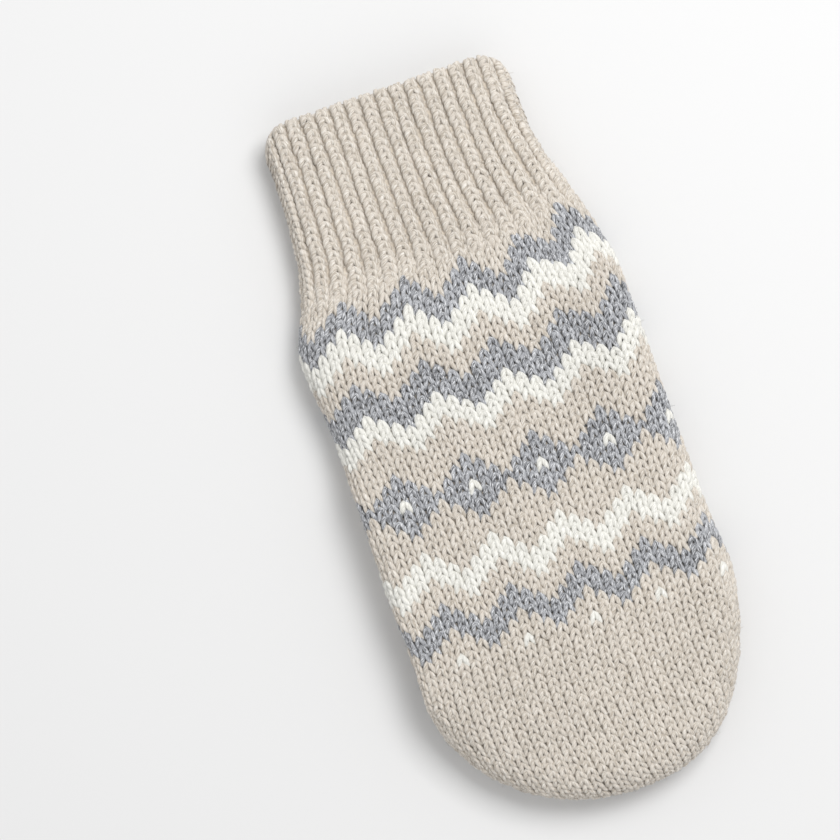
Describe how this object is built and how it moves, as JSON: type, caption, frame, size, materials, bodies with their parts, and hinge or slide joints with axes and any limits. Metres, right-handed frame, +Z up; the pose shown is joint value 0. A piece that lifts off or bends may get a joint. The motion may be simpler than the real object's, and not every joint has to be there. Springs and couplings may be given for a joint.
{
  "type": "knitted mitten",
  "caption": "Knitted mitten with a ribbed cuff and zigzag and diamond bands, lying palm down with its thumb folded under the palm.",
  "frame": {"origin": "centre of the mitten's footprint, on the floor under the palm", "axes": "+Y from the fingertip towards the wrist opening, +Z up out of the back of the hand, +X away from the thumb"},
  "size_m": [0.1185, 0.2588, 0.0284],
  "materials": {
    "rib_yarn": "matte heathered wool yarn in a ribbed knit",
    "pattern_yarn": "matte heathered wool yarns in oatmeal, grey and off-white, in stocking stitch",
    "plain_yarn": "matte heathered oatmeal wool yarn in stocking stitch"
  },
  "bodies": {
    "root": {"cuff": "rib_yarn", "hand": "pattern_yarn", "fingers": "pattern_yarn", "thumb": "plain_yarn"}
  },
  "joints": []
}
